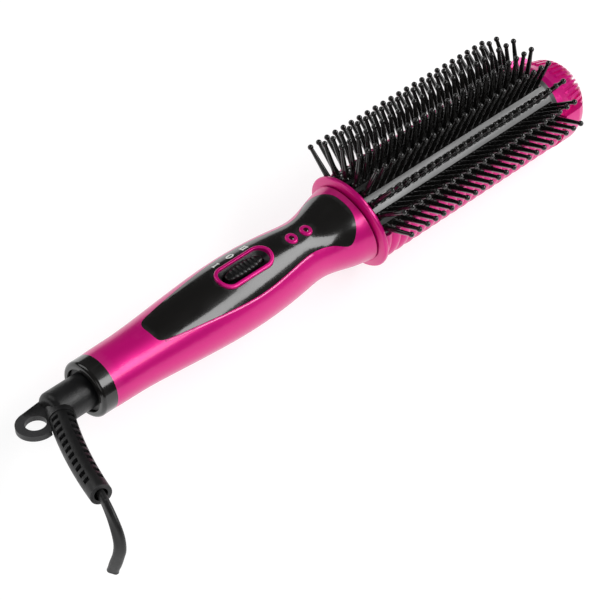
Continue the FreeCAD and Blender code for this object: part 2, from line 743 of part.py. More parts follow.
def handle():
    outer = handle_form("outer_form", "0")
    hollow = handle_form("hollow_form", "wall")
    under_panel = handle_form("seat_form", "panel_thickness")
    under_recess = handle_form("recess_form", "panel_thickness + fit_gap / 2")
    shell = cut(outer, hollow)
    rear = "tail_x - split_margin"
    front = "shoulder_x + split_margin"
    reach = "collar_radius"
    above = block("above_seam", (rear, "-" + reach, "parting_z"), (front, reach, reach))
    below = block("below_seam", (rear, "-" + reach, "-" + reach), (front, reach, "parting_z - seam_gap"))

    # upper shell: posts for the handle screws and the board, recess, switch and lamp openings
    posts = []
    holes = []
    for end in ("rear", "front"):
        spot = (end + "_post_x", "0", "post_meet_z")
        posts.append(rod("post", end + "_post_radius", reach, spot))
        holes.append(rod("pilot", "pilot_radius", "screw_tip_z + pilot_relief - post_meet_z", spot))
        board_spot = ("board_%s_screw_x" % end, "0", "board_top_z")
        posts.append(rod("board_post", "board_post_radius", reach, board_spot))
        holes.append(rod("board_pilot", "board_screw_radius + slide_gap / 2",
                         "board_screw_tip_z + pilot_relief - board_top_z", board_spot))
        lamp_spot = (end + "_lamp_x", "0", "led_top_z")
        holes.append(rod("light_hole", "light_hole_radius", reach, lamp_spot))
        seat_spot = (end + "_lamp_x", "0", end + "_lamp_top_z - ring_base_drop")
        holes.append(rod("ring_seat", "ring_radius + fit_gap", reach, seat_spot))
    inner_posts = common(fused(posts), under_recess)
    upper = fused([common(shell, above), inner_posts])
    recess = cut(panel_prism("recess_prism", number("fit_gap")), under_recess)
    openings = fused(holes + [bezel_prism("bezel_hole", "fit_gap")])
    upper = cut(cut(upper, recess), openings, "handle_upper_shell")
    keep(upper, "handle_upper_shell")

    # lower shell: its posts stop a hair below the upper ones
    lower_posts = []
    wells = []
    for end in ("rear", "front"):
        foot = end + "_post_foot_z"
        lower_posts.append(rod("lower_post", end + "_post_radius", "post_meet_z - seam_gap - " + foot,
                               (end + "_post_x", "0", foot)))
        base = (end + "_post_x", "0", "-" + reach)
        wells.append(rod("screw_hole", "screw_radius + screw_clearance", reach, base))
        wells.append(rod("head_well", "screw_head_radius + head_clearance", reach + " + screw_head_z", base))
    lower = cut(fused([common(shell, below)] + lower_posts), fused(wells), "handle_lower_shell")
    keep(lower, "handle_lower_shell")

    # inlay panel with openings for the bezel and the lamp rings
    ring_holes = [rod("ring_hole", "ring_radius + fit_gap", reach, (end + "_lamp_x", "0", "0"))
                  for end in ("rear", "front")]
    panel = cut(common(panel_prism("panel_prism", 0), outer), under_panel)
    panel = cut(panel, fused(ring_holes + [bezel_prism("panel_hole", "fit_gap")]), "inlay_panel")
    keep(panel, "inlay_panel")


def handle_screws():
    screws = []
    for end in ("rear", "front"):
        body = new_body(end + "_handle_screw")
        centre = end + "_post_x"
        pad(body, "XY_Plane", "screw_head_z - screw_head_height", "screw_head_height",
            lambda sketch: circle(sketch, centre, "0", "screw_head_radius"))
        pad(body, "XY_Plane", "screw_head_z - screw_head_height / 2",
            "screw_tip_z - screw_head_z + screw_head_height / 2",
            lambda sketch: circle(sketch, centre, "0", "screw_radius"))
        screws.append(body)
    keep(group(screws, "handle_screws"), "handle_screws")


def rear_cap():
    body = turned("rear_cap", [
        ("cap_rear_x", "cap_mouth"), ("cap_rear_x", "cap_radius"), ("tail_x", "cap_radius"),
        ("tail_x", "spigot_radius"), ("spigot_front_x", "spigot_radius"),
        ("spigot_front_x", "spigot_bore"), ("web_front_x", "spigot_bore"),
        ("web_front_x", "web_bore"), ("web_rear_x", "web_bore"), ("web_rear_x", "cap_mouth")])
    soften(body, "cap_edge_round", hoop("cap_rear_x", "cap_radius"))
    keep(body, "rear_cap")


def front_collar():
    disc = turned("collar_disc", [
        ("-collar_thickness", "0"), ("-collar_thickness", "collar_back_radius"),
        ("collar_slope - collar_thickness", "collar_radius"), ("0", "collar_radius"), ("0", "0")])
    soften(disc, "collar_back_round", hoop("collar_slope - collar_thickness", "collar_radius"))
    soften(disc, "collar_front_round", hoop("0", "collar_radius"))
    spigot = rod("collar_spigot", "collar_spigot_radius",
                 "collar_x - collar_thickness / 2 - collar_spigot_x", ("collar_spigot_x", "0", "0"), ALONG_X)
    spigot = common(spigot, behind_collar_face("spigot_limit"))
    bore = rod("collar_hole", "collar_bore", "2 * collar_radius", ("-collar_radius", "0", "0"), ALONG_X)
    whole = fused([leaned(group([disc], "leaned_disc")), spigot])
    keep(cut(whole, bore, "front_collar"), "front_collar")


# ---------------------------------------------------------------- switch, lamps and board

def switch_bezel():
    body = bezel_prism("bezel_outer", "0")
    crown = rod("bezel_crown", "bezel_top_radius", "bezel_length + 2 * split_margin",
                ("switch_x - bezel_length / 2 - split_margin", "0", "0"), ALONG_X)
    pocket(body, "XY_Plane", "bezel_floor_z", "collar_radius",
           lambda sketch: stadium(sketch, "switch_x", "opening_length", "opening_width"))
    pocket(body, "XY_Plane", "0", "collar_radius",
           lambda sketch: rectangle(sketch, "switch_x - slot_length / 2", "switch_x + slot_length / 2",
                                    "-slot_width / 2", "slot_width / 2"))
    keep(common(body, crown, "switch_bezel"), "switch_bezel")


def switch_box(body, feature, length, width, low, high):
    """A block or a hollow centred on the switch, between two heights."""
    return feature(body, "XY_Plane", low, "(%s) - (%s)" % (high, low),
                   lambda sketch: rectangle(sketch, "switch_x - (%s) / 2" % length,
                                            "switch_x + (%s) / 2" % length,
                                            "-(%s) / 2" % width, "(%s) / 2" % width))


def switch():
    slider = new_body("switch_slider")
    switch_box(slider, pad, "knob_length", "knob_width", "knob_base_z", "knob_top_z - knob_rib_height")
    soften(slider, "knob_corner", lambda edge: edge.BoundBox.ZLength > TOLERANCE)
    rib_middle = "switch_x - knob_rib_pitch * (knob_rib_count - 1) / 2"
    rib = pad(slider, "XY_Plane", "knob_top_z - knob_rib_height - weld", "knob_rib_height + weld",
              lambda sketch: rectangle(sketch, rib_middle + " - knob_rib_length / 2",
                                       rib_middle + " + knob_rib_length / 2",
                                       "-knob_width / 2 + knob_rib_inset",
                                       "knob_width / 2 - knob_rib_inset"))
    repeat_along_x(slider, rib, "knob_rib_pitch", "knob_rib_count")
    switch_box(slider, pad, "stem_length", "stem_width", "stem_base_z", "knob_base_z + weld")
    switch_box(slider, pocket, "nub_length + slide_gap", "nub_width + slide_gap",
               "stem_base_z", "nub_top_z + slide_gap")
    keep(slider, "switch_slider")

    actuator = new_body("switch_actuator")
    switch_box(actuator, pad, "carriage_length", "carriage_width", "carriage_base_z", "carriage_top_z")
    switch_box(actuator, pad, "nub_length", "nub_width", "carriage_top_z - weld", "nub_top_z")
    keep(actuator, "switch_actuator")

    case = new_body("slide_switch")
    run = "2 * (slide_travel + slide_gap)"
    switch_box(case, pad, "case_length", "case_width", "board_top_z", "case_top_z")
    switch_box(case, pocket, "carriage_length + " + run, "carriage_width + 2 * slide_gap",
               "carriage_base_z - slide_gap", "carriage_top_z + slide_gap")
    switch_box(case, pocket, "nub_length + " + run, "nub_width + 2 * slide_gap",
               "carriage_top_z", "case_top_z + past")
    keep(case, "slide_switch")


def lamps():
    rings = []
    lenses = []
    leds = []
    for end in ("rear", "front"):
        centre = end + "_lamp_x"
        top = end + "_lamp_top_z"
        ring = new_body(end + "_lamp_ring")
        pad(ring, "XY_Plane", top + " - ring_base_drop", "ring_base_drop",
            lambda sketch: circle(sketch, centre, "0", "ring_radius"))
        pocket(ring, "XY_Plane", "0", "collar_radius",
               lambda sketch: circle(sketch, centre, "0", "lens_radius + slide_gap / 2"))
        soften(ring, "ring_round", rim(top, "ring_radius"))
        rings.append(ring)
        lens = new_body(end + "_lamp_lens")
        pad(lens, "XY_Plane", top + " - ring_base_drop", "ring_base_drop - lens_recess",
            lambda sketch: circle(sketch, centre, "0", "lens_radius"))
        soften(lens, "lens_round", rim(top + " - lens_recess", "lens_radius"))
        lenses.append(lens)
        led = new_body(end + "_led")
        pad(led, "XY_Plane", "board_top_z", "led_top_z - board_top_z",
            lambda sketch: circle(sketch, centre, "0", "led_radius"))
        soften(led, "led_round", rim("led_top_z", "led_radius"))
        leds.append(led)
    keep(group(rings, "lamp_rings"), "lamp_rings")
    keep(group(lenses, "lamp_lenses"), "lamp_lenses")
    keep(group(leds, "indicator_leds"), "indicator_leds")


def board():
    body = new_body("circuit_board")
    pad(body, "XY_Plane", "board_base_z", "board_top_z - board_base_z",
        lambda sketch: rectangle(sketch, "board_rear_x", "board_front_x",
                                 "-board_half_width", "board_half_width"))
    screws = []
    for end in ("rear", "front"):
        centre = "board_%s_screw_x" % end
        pocket(body, "XY_Plane", "0", "board_top_z + past",
               lambda sketch: circle(sketch, centre, "0", "board_screw_radius + slide_gap"))
        screw = new_body(end + "_board_screw")
        pad(screw, "XY_Plane", "board_base_z - board_screw_head_height", "board_screw_head_height",
            lambda sketch: circle(sketch, centre, "0", "board_screw_head_radius"))
        pad(screw, "XY_Plane", "board_base_z - board_screw_head_height / 2",
            "board_screw_tip_z - board_base_z + board_screw_head_height / 2",
            lambda sketch: circle(sketch, centre, "0", "board_screw_radius"))
        screws.append(screw)
    keep(body, "circuit_board")
    keep(group(screws, "board_screws"), "board_screws")

    # a capacitor, a driver and a suppressor stand on the board clear of the switch and the posts
    capacitor = rod("capacitor", "capacitor_radius", "capacitor_height",
                    ("capacitor_x", "capacitor_y", "board_top_z"))
    driver = block("driver", ("driver_x", "-driver_half_width", "board_top_z"),
                   ("driver_x + driver_length", "driver_half_width", "board_top_z + driver_height"))
    suppressor = block("suppressor", ("suppressor_x", "suppressor_y", "board_top_z"),
                       ("suppressor_x + suppressor_length", "suppressor_y + suppressor_width",
                        "board_top_z + suppressor_height"))
    keep(group([capacitor, driver, suppressor], "board_components"), "board_components")

    mains = []
    heater = []
    for side in ("-", ""):
        mains.append(rod("mains_lead", "lead_radius", "mains_lead_end_x - block_front_x - leaf_gap",
                         ("block_front_x + leaf_gap", side + "mains_lead_y", "lead_z"), ALONG_X))
        heater.append(rod("heater_lead", "lead_radius", "heater_lead_end_x - heater_lead_start_x",
                          ("heater_lead_start_x", side + "heater_lead_y", "lead_z"), ALONG_X))
    keep(group(mains, "mains_leads"), "mains_leads")
    keep(group(heater, "heater_leads"), "heater_leads")


# ---------------------------------------------------------------- head

ROW_COUNT = 8
SIDEWAYS = (FreeCAD.Rotation(Vector(1, 0, 0), 90), FreeCAD.Rotation(Vector(1, 0, 0), -90))


def row_angle(step):
    """Angle of a bristle row from straight up, for rows counted from the +Y side."""
    return "row_step * %g" % (step - (ROW_COUNT - 1) / 2)


def turn_about_axis(piece, angle):
    """Turn a piece about the brush's axis by an expression in degrees."""
    piece.Placement = FreeCAD.Placement(Vector(0, 0, 0), FreeCAD.Rotation(Vector(1, 0, 0), 1))
    piece.setExpression("Placement.Rotation.Angle", bound(angle))
    return piece


def barrel():
    body = turned("barrel_tube", [
        ("barrel_rear_x", "barrel_bore"), ("barrel_rear_x", "land_radius"),
        ("land_front_x", "land_radius"), ("land_front_x", "groove_floor_radius"),
        ("barrel_front_x", "groove_floor_radius"), ("barrel_front_x", "barrel_bore")])
    rear = "barrel_rear_x - past"
    front = "barrel_front_x + past"
    spin(body, [(rear, "-barrel_back_radius"), (front, "-barrel_back_radius"),
                (front, "-land_radius - past"), (rear, "-land_radius - past")],
         kind="PartDesign::Groove", sweep="barrel_back_angle")
    grooves = []
    for step in range(ROW_COUNT):
        groove = block("groove", (rear, "-groove_width / 2", "groove_floor_radius"),
                       ("land_front_x + past", "groove_width / 2", "land_radius + past"))
        grooves.append(turn_about_axis(group([groove], "turned_groove"), row_angle(step)))
    holes = [rod("grub_hole", "grub_radius + slide_gap / 2", "collar_radius", ("grub_x", "0", "0"), side)
             for side in SIDEWAYS]
    waste = fused(grooves + holes + [behind_collar_face("barrel_trim")])
    keep(cut(body, waste, "barrel"), "barrel")


def bristle_rows():
    """One strip of ball-tipped bristles, repeated round the head."""
    strip = new_body("bristle_strip")
    pad(strip, "YZ_Plane", "-bar_overhang_rear",
        "bar_overhang_rear + bristle_pitch * (bristle_count - 1) + bar_overhang_front",
        lambda sketch: rectangle(sketch, "-bar_half_width", "bar_half_width", "bar_base", "bar_top"))
    join = "ball_middle - sqrt(ball_radius ^ 2 - stem_tip_radius ^ 2)"
    bristle = spin(strip, [("0", "boss_base"), ("boss_radius", "boss_base"), ("boss_radius", "boss_top"),
                           ("stem_root_radius", "stem_root"), ("stem_tip_radius", join, "-ball_radius"),
                           ("0", "ball_middle + ball_radius")], about="V_Axis")
    repeat_along_x(strip, bristle, "bristle_pitch", "bristle_count")
    place(strip, ("first_bristle_x", "0", "0"))
    for step in range(ROW_COUNT):
        name = "bristle_row_%d" % (step + 1)
        keep(turn_about_axis(group([strip], name), row_angle(step)), name)


def back_shell():
    """Half shell round the back of the head, with rounded ribs."""
    body = new_body("ribbed_shell")
    spin(body, [("back_rear_x", "-back_inner"), ("back_front_x", "-back_inner"),
                ("back_front_x", "-back_notch"), ("back_rear_x", "-back_notch")], sweep="back_sweep")
    rise = "(back_crest - back_notch)"
    bulge = "(back_rib_chord ^ 2 / 4 + %s ^ 2) / (2 * %s)" % (rise, rise)
    rib = spin(body, [("back_first_rib_x - back_rib_chord / 2", "-back_notch", "-(%s)" % bulge),
                      ("back_first_rib_x + back_rib_chord / 2", "-back_notch")], sweep="back_sweep")
    repeat_along_x(body, rib, "back_rib_pitch", "back_rib_count")
    keep(cut(body, behind_collar_face("back_trim"), "back_shell"), "back_shell")


def tip_cap():
    """Cool cap with a smooth skirt at the back and thin fins over its dome."""
    dome = new_body("dome")
    spin(dome, [("dome_rear_x", "0"), ("dome_rear_x", "dome_rear_radius"),
                ("dome_ridge_x", "dome_ridge_radius"), ("dome_side_x", "dome_side_radius", "dome_round"),
                ("dome_end_x", "dome_end_radius"), ("dome_end_x", "0")])
    fin = spin(dome, [("fin_start_x", "fin_root"), ("fin_start_x", "fin_full_radius - fin_rise"),
                      ("fin_full_x", "fin_full_radius"),
                      ("dome_side_x + fin_rise / 2", "dome_side_radius + fin_rise", "dome_round + fin_rise"),
                      ("dome_end_x + fin_rise", "dome_end_radius"), ("dome_end_x + fin_rise", "fin_root")],
               sweep="fin_angle")
    ring = dome.newObject("PartDesign::PolarPattern", "fins")
    ring.Originals = [fin]
    ring.Axis = (fin.Profile[0], ["H_Axis"])
    ring.Angle = 360
    ring.setExpression("Occurrences", bound("fin_count"))
    dome.Tip = ring
    place(dome, ("0", "0", "-dome_drop"))
    limit = rod("cap_limit", "skirt_radius", "dome_end_x - dome_rear_x + split_margin",
                ("dome_rear_x", "0", "0"), ALONG_X)
    skirt = new_body("skirt")
    spin(skirt, [("skirt_rear_x", "-skirt_inner"), ("skirt_rear_x", "-skirt_radius"),
                 ("skirt_turn_x", "-skirt_radius"), ("skirt_mid_x", "-skirt_mid_radius"),
                 ("skirt_end_x", "-skirt_inner")], sweep="skirt_sweep")
    soften(skirt, "skirt_round", hoop("skirt_turn_x", "skirt_radius"))
    post = rod("cap_post", "cap_post_radius", "cap_bore_end_x + past - dome_rear_x",
               ("dome_rear_x", "0", "0"), ALONG_X)
    bore = rod("cap_hollow", "cap_bore", "cap_bore_end_x - dome_rear_x + past",
               ("dome_rear_x - past", "0", "0"), ALONG_X)
    hollow = cut(bore, post)
    screw_hole = rod("cap_screw_hole", "tip_screw_radius + slide_gap / 2",
                     "tip_screw_end_x + past - dome_rear_x", ("dome_rear_x", "0", "0"), ALONG_X)
    whole = fused([common(dome, limit), skirt])
    keep(cut(whole, fused([hollow, screw_hole]), "tip_cap"), "tip_cap")


def bushes():
    root = turned("root_bush", [
        ("root_bush_rear_x", "bush_bore"), ("root_bush_rear_x", "bush_radius"),
        ("root_bush_step_x", "bush_radius"), ("root_bush_step_x", "plug_radius"),
        ("root_bush_front_x", "plug_radius"), ("root_bush_front_x", "bush_bore")])
    holes = [rod("bush_grub_hole", "grub_radius + slide_gap / 2", "collar_radius",
                 ("grub_x", "0", "0"), side) for side in SIDEWAYS]
    keep(cut(root, fused(holes), "root_bush"), "root_bush")
    grubs = [rod("barrel_screw", "grub_radius", "grub_outer - grub_inner",
                 ("grub_x", sign + "grub_inner", "0"), side)
             for sign, side in zip(("-", ""), SIDEWAYS)]
    keep(group(grubs, "barrel_screws"), "barrel_screws")

    tip = turned("tip_bush", [
        ("tip_plug_x", "tip_plug_bore"), ("tip_plug_x", "plug_radius"), ("barrel_front_x", "plug_radius"),
        ("barrel_front_x", "tip_flange_radius"), ("dome_rear_x", "tip_flange_radius"),
        ("dome_rear_x", "tip_screw_radius + slide_gap"), ("tip_web_x", "tip_screw_radius + slide_gap"),
        ("tip_web_x", "tip_plug_bore")])
    keep(tip, "tip_bush")
    screw = turned("tip_screw", [
        ("tip_screw_head_x", "0"), ("tip_screw_head_x", "tip_screw_head_radius"),
        ("tip_web_x", "tip_screw_head_radius"), ("tip_web_x", "tip_screw_radius"),
        ("tip_screw_end_x", "tip_screw_radius"), ("tip_screw_end_x", "0")])
    keep(screw, "tip_screw")


def heater():
    """Three ceramic tablets between plates, films and two half-round spreaders."""
    film_top = "tablet_half_height + plate_thickness + film_thickness"
    reach = "spreader_radius + past"
    for side, name in (("", "heat_spreader_upper"), ("-", "heat_spreader_lower")):
        flats = []
        rods = []
        for inset, floor in (("0", film_top), ("spreader_wall", film_top + " + spreader_wall")):
            edges = sorted((side + "(%s)" % floor, side + "(%s)" % reach), key=number)
            flats.append(block("half", ("heater_rear_x - past", "-(%s)" % reach, edges[0]),
                               ("heater_front_x + past", reach, edges[1])))
            rods.append(rod("round", "spreader_radius - (%s)" % inset, "heater_front_x - heater_rear_x",
                            ("heater_rear_x", "0", "0"), ALONG_X))
        keep(cut(common(rods[0], flats[0]), common(rods[1], flats[1]), name), name)
    tablets = []
    for step in range(int(number("tablet_count"))):
        start = "first_tablet_x + tablet_pitch * %d" % step
        tablets.append(block("tablet", (start, "-tablet_width / 2", "-tablet_half_height"),
                             (start + " + tablet_length", "tablet_width / 2", "tablet_half_height")))
    keep(group(tablets, "ptc_elements"), "ptc_elements")

    def sheets(label, rear, front, half, low, thickness):
        pair = []
        for side in ("", "-"):
            edges = sorted((side + "(%s)" % low, side + "(%s + %s)" % (low, thickness)), key=number)
            pair.append(block(label, (rear, "-(%s)" % half, edges[0]), (front, half, edges[1])))
        keep(group(pair, label), label)
    sheets("electrode_plates", "plate_rear_x", "plate_front_x", "plate_half_width",
           "tablet_half_height", "plate_thickness")
    sheets("insulating_films", "film_rear_x", "film_front_x", "film_half_width",
           "tablet_half_height + plate_thickness", "film_thickness")
    shelf = film_top + " + spreader_wall + slide_gap / 2"
    fuse = rod("thermal_fuse", "fuse_radius", "fuse_length",
               ("fuse_x", "fuse_y", shelf + " + fuse_radius"), ALONG_X)
    keep(fuse, "thermal_fuse")
    thermostat = block("thermostat", ("fuse_x", "thermostat_y", shelf),
                       ("fuse_x + fuse_length", "thermostat_y + thermostat_width",
                        shelf + " + thermostat_height"))
    keep(thermostat, "thermostat")


# ---------------------------------------------------------------- swivel and cord

def at_swivel_rest(piece):
    """Turn a piece of the swivel from its own frame to its rest angle."""
    return turn_about_axis(piece, "-swivel_rest")


def boot_lean(distance):
    """The boot's lean in radians at a distance along it."""
    share = distance / number("boot_length")
    start = number("boot_lean_start")
    return math.radians(start + (number("boot_lean_end") - start) * share)


def boot_point(distance):
    """A point on the boot's middle line, which bends evenly from one lean to the other."""
    start = boot_lean(0)
    here = boot_lean(distance)
    bend = (here - start) / distance if distance else 1
    back = (math.cos(start) - math.cos(here)) / bend if distance else 0
    out = (math.sin(here) - math.sin(start)) / bend if distance else 0
    return Vector(number("boot_x") - back, -out, 0)


def boot_heading(distance):
    lean = boot_lean(distance)
    return Vector(-math.sin(lean), -math.cos(lean), 0)


def boot_radius(distance):
    root = number("boot_root_radius")
    start = number("boot_start")
    share = (distance - start) / (number("boot_length") - start)
    return root + (number("boot_tip_radius") - root) * share


def boot_ring(distance, radius):
    return Part.Wire(Part.makeCircle(radius, boot_point(distance), boot_heading(distance)))


def strain_relief_boot():
    """A curved, tapered rubber sleeve with lines of windows either side of a spine."""
    start = number("boot_start")
    length = number("boot_length")
    stops = [start + (length - start) * step / BOOT_STEPS for step in range(BOOT_STEPS + 1)]
    sleeve = Part.makeLoft([boot_ring(stop, boot_radius(stop)) for stop in stops], True)
    plug_start = number("boot_plug_start")
    plug_radius = number("boot_plug_radius")
    plug = Part.makeLoft([boot_ring(stop, plug_radius) for stop in (plug_start, start)], True)
    bore = Part.makeLoft([boot_ring(stop, number("boot_bore")) for stop in [plug_start] + stops], True)
    shape = sleeve.fuse(plug).cut(bore)
    span = number("window_length")
    inner = number("window_inner")
    height = 2 * boot_radius(start) + number("past")
    for step in range(int(number("window_count"))):
        middle = number("window_first") + number("window_pitch") * step
        outer = boot_radius(middle) - number("window_rail")
        turn = FreeCAD.Rotation(Vector(1, 0, 0), boot_heading(middle))
        for side in (inner, -outer):
            window = Part.makeBox(span, outer - inner, height, Vector(-span / 2, side, -height / 2))
            window.Placement = FreeCAD.Placement(boot_point(middle), turn)
            shape = shape.cut(window)
    piece = doc.addObject("Part::Feature", "strain_relief_boot")
    piece.Shape = shape
    keep(at_swivel_rest(piece), "strain_relief_boot")


def swivel_housing():
    body = turned("swivel_turned", [
        ("swivel_rear_x", "0"), ("swivel_rear_x", "swivel_radius"), ("swivel_step_x", "swivel_radius"),
        ("swivel_step_x", "swivel_collar_radius"), ("swivel_collar_x", "swivel_collar_radius"),
        ("swivel_collar_x", "shaft_radius"), ("clip_rear_x - slide_gap", "shaft_radius"),
        ("clip_rear_x - slide_gap", "groove_radius"), ("clip_front_x + slide_gap", "groove_radius"),
        ("clip_front_x + slide_gap", "shaft_radius"), ("sleeve_rear_x", "shaft_radius"),
        ("sleeve_rear_x", "sleeve_inner"), ("sleeve_front_x", "sleeve_inner"), ("sleeve_front_x", "0")])
    soften(body, "swivel_round", hoop("swivel_rear_x", "swivel_radius"))
    eye = new_body("eye")
    pad(eye, "XY_Plane", "-eye_thickness / 2", "eye_thickness",
        lambda sketch: outline(sketch, [("eye_root_x", "-eye_root_half"),
                                        ("eye_x", "-eye_shift - eye_outer_radius"),
                                        ("eye_x", "eye_outer_radius - eye_shift"),
                                        ("eye_root_x", "eye_root_half")]))
    pad(eye, "XY_Plane", "-eye_thickness / 2", "eye_thickness",
        lambda sketch: circle(sketch, "eye_x", "-eye_shift", "eye_outer_radius"))
    pocket(eye, "XY_Plane", "-eye_thickness", "2 * eye_thickness",
           lambda sketch: circle(sketch, "eye_x", "-eye_shift", "eye_hole_radius"))
    lean = FreeCAD.Rotation(Vector(0, 0, 1), boot_heading(number("boot_start") / 2))
    spot = ("boot_x", "0", "0")
    socket = rod("socket", "socket_radius", "boot_start", spot, lean)
    socket_bore = rod("socket_bore", "boot_plug_radius + slide_gap / 2", "boot_start + weld", spot, lean)
    lead_bore = rod("lead_bore", "lead_bore", "pin_rear_x - lead_bore_x", ("lead_bore_x", "0", "0"), ALONG_X)
    pin_bore = rod("pin_bore", "pin_radius", "sleeve_front_x - pin_rear_x + past",
                   ("pin_rear_x", "0", "0"), ALONG_X)
    channel = rod("channel", "thin_lead_radius + slide_gap / 2", "sleeve_rear_x - pin_rear_x",
                  ("pin_rear_x", "0", "-channel_offset"), ALONG_X)
    notch_floor = "-channel_offset - thin_lead_radius - slide_gap / 2"
    notch = block("notch", ("pin_rear_x - notch_length", "-notch_half_width", notch_floor),
                  ("pin_rear_x", "notch_half_width", "0"))
    boot_room = rod("boot_room", "boot_root_radius + boot_gap", "boot_start",
                    tuple("%.4f" % part for part in boot_point(number("boot_start"))),
                    FreeCAD.Rotation(Vector(0, 0, 1), boot_heading(number("boot_start"))))
    solid = cut(fused([body, eye, socket]), boot_room)
    bores = fused([socket_bore, lead_bore, pin_bore, channel, notch])
    keep(at_swivel_rest(group([cut(solid, bores)], "swivel_housing")), "swivel_housing")


def swivel_contacts():
    clip = turned("clip", [("clip_rear_x", "clip_inner"), ("clip_rear_x", "clip_outer"),
                           ("clip_front_x", "clip_outer"), ("clip_front_x", "clip_inner")])
    pocket(clip, "YZ_Plane", "clip_rear_x - past", "clip_front_x - clip_rear_x + 2 * past",
           lambda sketch: rectangle(sketch, "-clip_mouth / 2", "clip_mouth / 2", "0", "clip_outer + past"))
    keep(at_swivel_rest(group([clip], "swivel_retainer")), "swivel_retainer")
    sleeve = turned("sleeve", [("sleeve_rear_x", "sleeve_inner"), ("sleeve_rear_x", "shaft_radius"),
                               ("sleeve_front_x", "shaft_radius"), ("sleeve_front_x", "sleeve_inner")])
    keep(at_swivel_rest(group([sleeve], "contact_sleeve")), "contact_sleeve")
    pin = rod("pin", "pin_radius", "pin_front_x - pin_rear_x", ("pin_rear_x", "0", "0"), ALONG_X)
    keep(at_swivel_rest(group([pin], "contact_pin")), "contact_pin")


def bent_wire(points, radius):
    """A round wire with straight runs between points."""
    shape = None
    for start, end in zip(points, points[1:]):
        run = Part.makeCylinder(radius, (end - start).Length, start, end - start)
        run = run.fuse(Part.makeSphere(radius, end)) if end != points[-1] else run
        shape = run if shape is None else shape.fuse(run)
    return shape.removeSplitter()


def swivel_leads():
    """Two wires from the cord to the pin and the sleeve."""
    entry = boot_point(number("cord_start - slide_gap"))
    bend = boot_point(number("lead_bend"))
    radius = number("thin_lead_radius")
    apart = Vector(0, 0, number("lead_spread"))
    low = -number("channel_offset")
    pin_end = Vector(number("pin_rear_x - slide_gap / 2"), 0, number("pin_lead_z"))
    turn_x = number("pin_rear_x - sleeve_lead_gap")
    sleeve_end = Vector(number("sleeve_rear_x - slide_gap / 2"), 0, low)
    to_pin = [entry + apart, bend + apart, pin_end]
    to_sleeve = [entry - apart, bend - apart, Vector(turn_x, 0, number("sleeve_lead_z")),
                 Vector(turn_x, 0, low), sleeve_end]
    piece = doc.addObject("Part::Feature", "swivel_leads")
    piece.Shape = Part.makeCompound([bent_wire(to_pin, radius), bent_wire(to_sleeve, radius)])
    keep(at_swivel_rest(piece), "swivel_leads")


def cord_frames():
    """Points along the cord, each with its heading and the direction of its flat side."""
    inside = [number("cord_start")]
    inside += [number("boot_length") * share for share in CORD_STOPS]
    points = [boot_point(stop) for stop in inside] + [Vector(*spot) for spot in CORD_RUN]
    curve = Part.BSplineCurve()
    curve.interpolate(points)
    first = curve.FirstParameter
    last = curve.LastParameter
    leave = curve.parameter(boot_point(number("boot_length")))
    frames = []
    for step in range(CORD_STEPS + 1):
        spot = first + (last - first) * step / CORD_STEPS
        heading = curve.tangent(spot)[0]
        share = max(0, (spot - leave) / (last - leave))
        flat = CORD_FLAT_START * (1 - share) + CORD_FLAT_END * share
        flat = (flat - heading * flat.dot(heading)).normalize()
        frames.append((curve.value(spot), heading, flat))
    return frames


def stadium_wire(middle, heading, flat, width, thickness):
    """The cord's section: two half rounds joined by flats."""
    side = heading.cross(flat)
    reach = flat * ((width - thickness) / 2)
    lift = side * (thickness / 2)
    bulge = flat * (width / 2)
    a = middle + reach + lift
    b = middle + reach - lift
    c = middle - reach - lift
    d = middle - reach + lift
    return Part.Wire([Part.Arc(a, middle + bulge, b).toShape(), Part.makeLine(b, c),
                      Part.Arc(c, middle - bulge, d).toShape(), Part.makeLine(d, a)])


def cord():
    frames = cord_frames()
    width = number("cord_width")
    thickness = number("cord_thickness")
    shape = Part.makeLoft([stadium_wire(*frame, width, thickness) for frame in frames], True)
    offset = number("core_offset")
    wires = []
    for side in (offset, -offset):
        cores = []
        for radius in (number("conductor_bore"), number("conductor_radius")):
            rings = [Part.Wire(Part.makeCircle(radius, spot + flat * side, heading))
                     for spot, heading, flat in frames]
            cores.append(Part.makeLoft(rings, True))
        shape = shape.cut(cores[0])
        wires.append(cores[1])
    jacket = doc.addObject("Part::Feature", "cord_jacket")
    jacket.Shape = shape
    keep(at_swivel_rest(jacket), "cord_jacket")
    conductors = doc.addObject("Part::Feature", "cord_conductors")
    conductors.Shape = Part.makeCompound(wires)
    keep(at_swivel_rest(conductors), "cord_conductors")


def contact_block():
    body = turned("contact_block", [
        ("block_rear_x", "block_bore"), ("block_rear_x", "block_radius"), ("block_front_x", "block_radius"),
        ("block_front_x", "0"), ("block_disc_x", "0"), ("block_disc_x", "block_bore")])
    keep(body, "contact_block")
    inner = "shaft_radius + leaf_gap"
    outer = inner + " + leaf_thickness"
    side_leaf = block("side_leaf", ("sleeve_rear_x + 2 * leaf_thickness", inner, "-leaf_half_width"),
                      ("block_disc_x", outer, "leaf_half_width"))
    face = "pin_front_x + leaf_gap"
    end_leaf = block("end_leaf", (face, "-leaf_half_width", "-leaf_half_width"),
                     (face + " + leaf_thickness", "leaf_half_width", "leaf_height"))
    foot = block("end_foot", (face, "-leaf_half_width", "leaf_height - leaf_thickness"),
                 ("block_disc_x", "leaf_half_width", "leaf_height"))
    keep(group([side_leaf, fused([end_leaf, foot])], "contact_springs"), "contact_springs")


# ---------------------------------------------------------------- build, check and write

handle()
handle_screws()
rear_cap()
front_collar()
switch_bezel()
switch()
lamps()
board()
barrel()
bristle_rows()
back_shell()
tip_cap()
bushes()
heater()
swivel_housing()
swivel_contacts()
swivel_leads()
strain_relief_boot()
cord()
contact_block()
doc.recompute()

